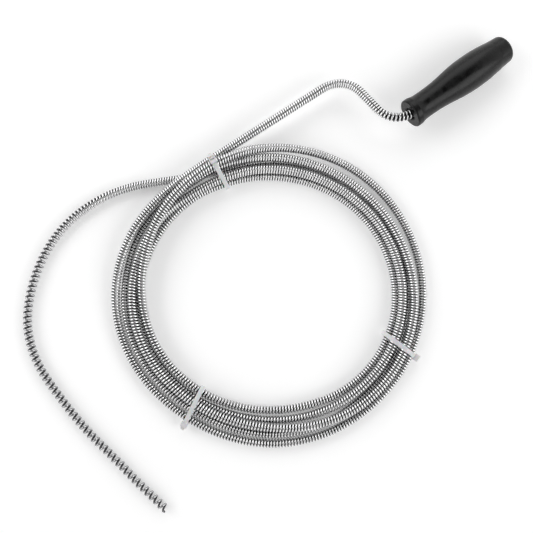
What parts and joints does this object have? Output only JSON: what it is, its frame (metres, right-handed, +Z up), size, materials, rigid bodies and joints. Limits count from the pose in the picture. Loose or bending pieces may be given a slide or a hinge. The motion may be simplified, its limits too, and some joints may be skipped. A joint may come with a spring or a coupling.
{
  "type": "drain auger",
  "caption": "Hand-cranked drain auger: close-wound steel spring cable tied in a ring, open-wound tip, bent crank with a black turning grip.",
  "frame": {"origin": "on the table, under the middle of the box round the handle (grip, crank spring and rod)", "axes": "+Z up from the table that the auger lies on; +X along the handle's longer side in plan, from the ring towards the grip's butt; +Y across it, away from the ring. The ring lies to -X and -Y"},
  "size_m": [0.4694, 0.4561, 0.0372],
  "materials": {
    "spring_steel": "bright drawn wire",
    "rod_steel": "zinc plated",
    "fastener_steel": "zinc plated",
    "grip_plastic": "moulded, semi-gloss",
    "tie_nylon": "natural nylon, slightly clear"
  },
  "bodies": {
    "root": {"cable_ring": "spring_steel", "cable_tail": "spring_steel", "crank_spring": "spring_steel", "core_rod": "rod_steel", "front_washer": "fastener_steel", "rear_washer": "fastener_steel", "push_nut": "fastener_steel", "tie_top": "tie_nylon", "tie_left": "tie_nylon", "tie_right": "tie_nylon"},
    "grip": {"grip_shell": "grip_plastic", "grip_end_cap": "grip_plastic"}
  },
  "joints": [
    {"name": "grip_spin", "type": "hinge", "parent": "root", "child": "grip", "pos_m": [0.04426, -0.01585, 0.02346], "axis": [0.813, 0.5757, -0.0872], "continuous": true}
  ]
}
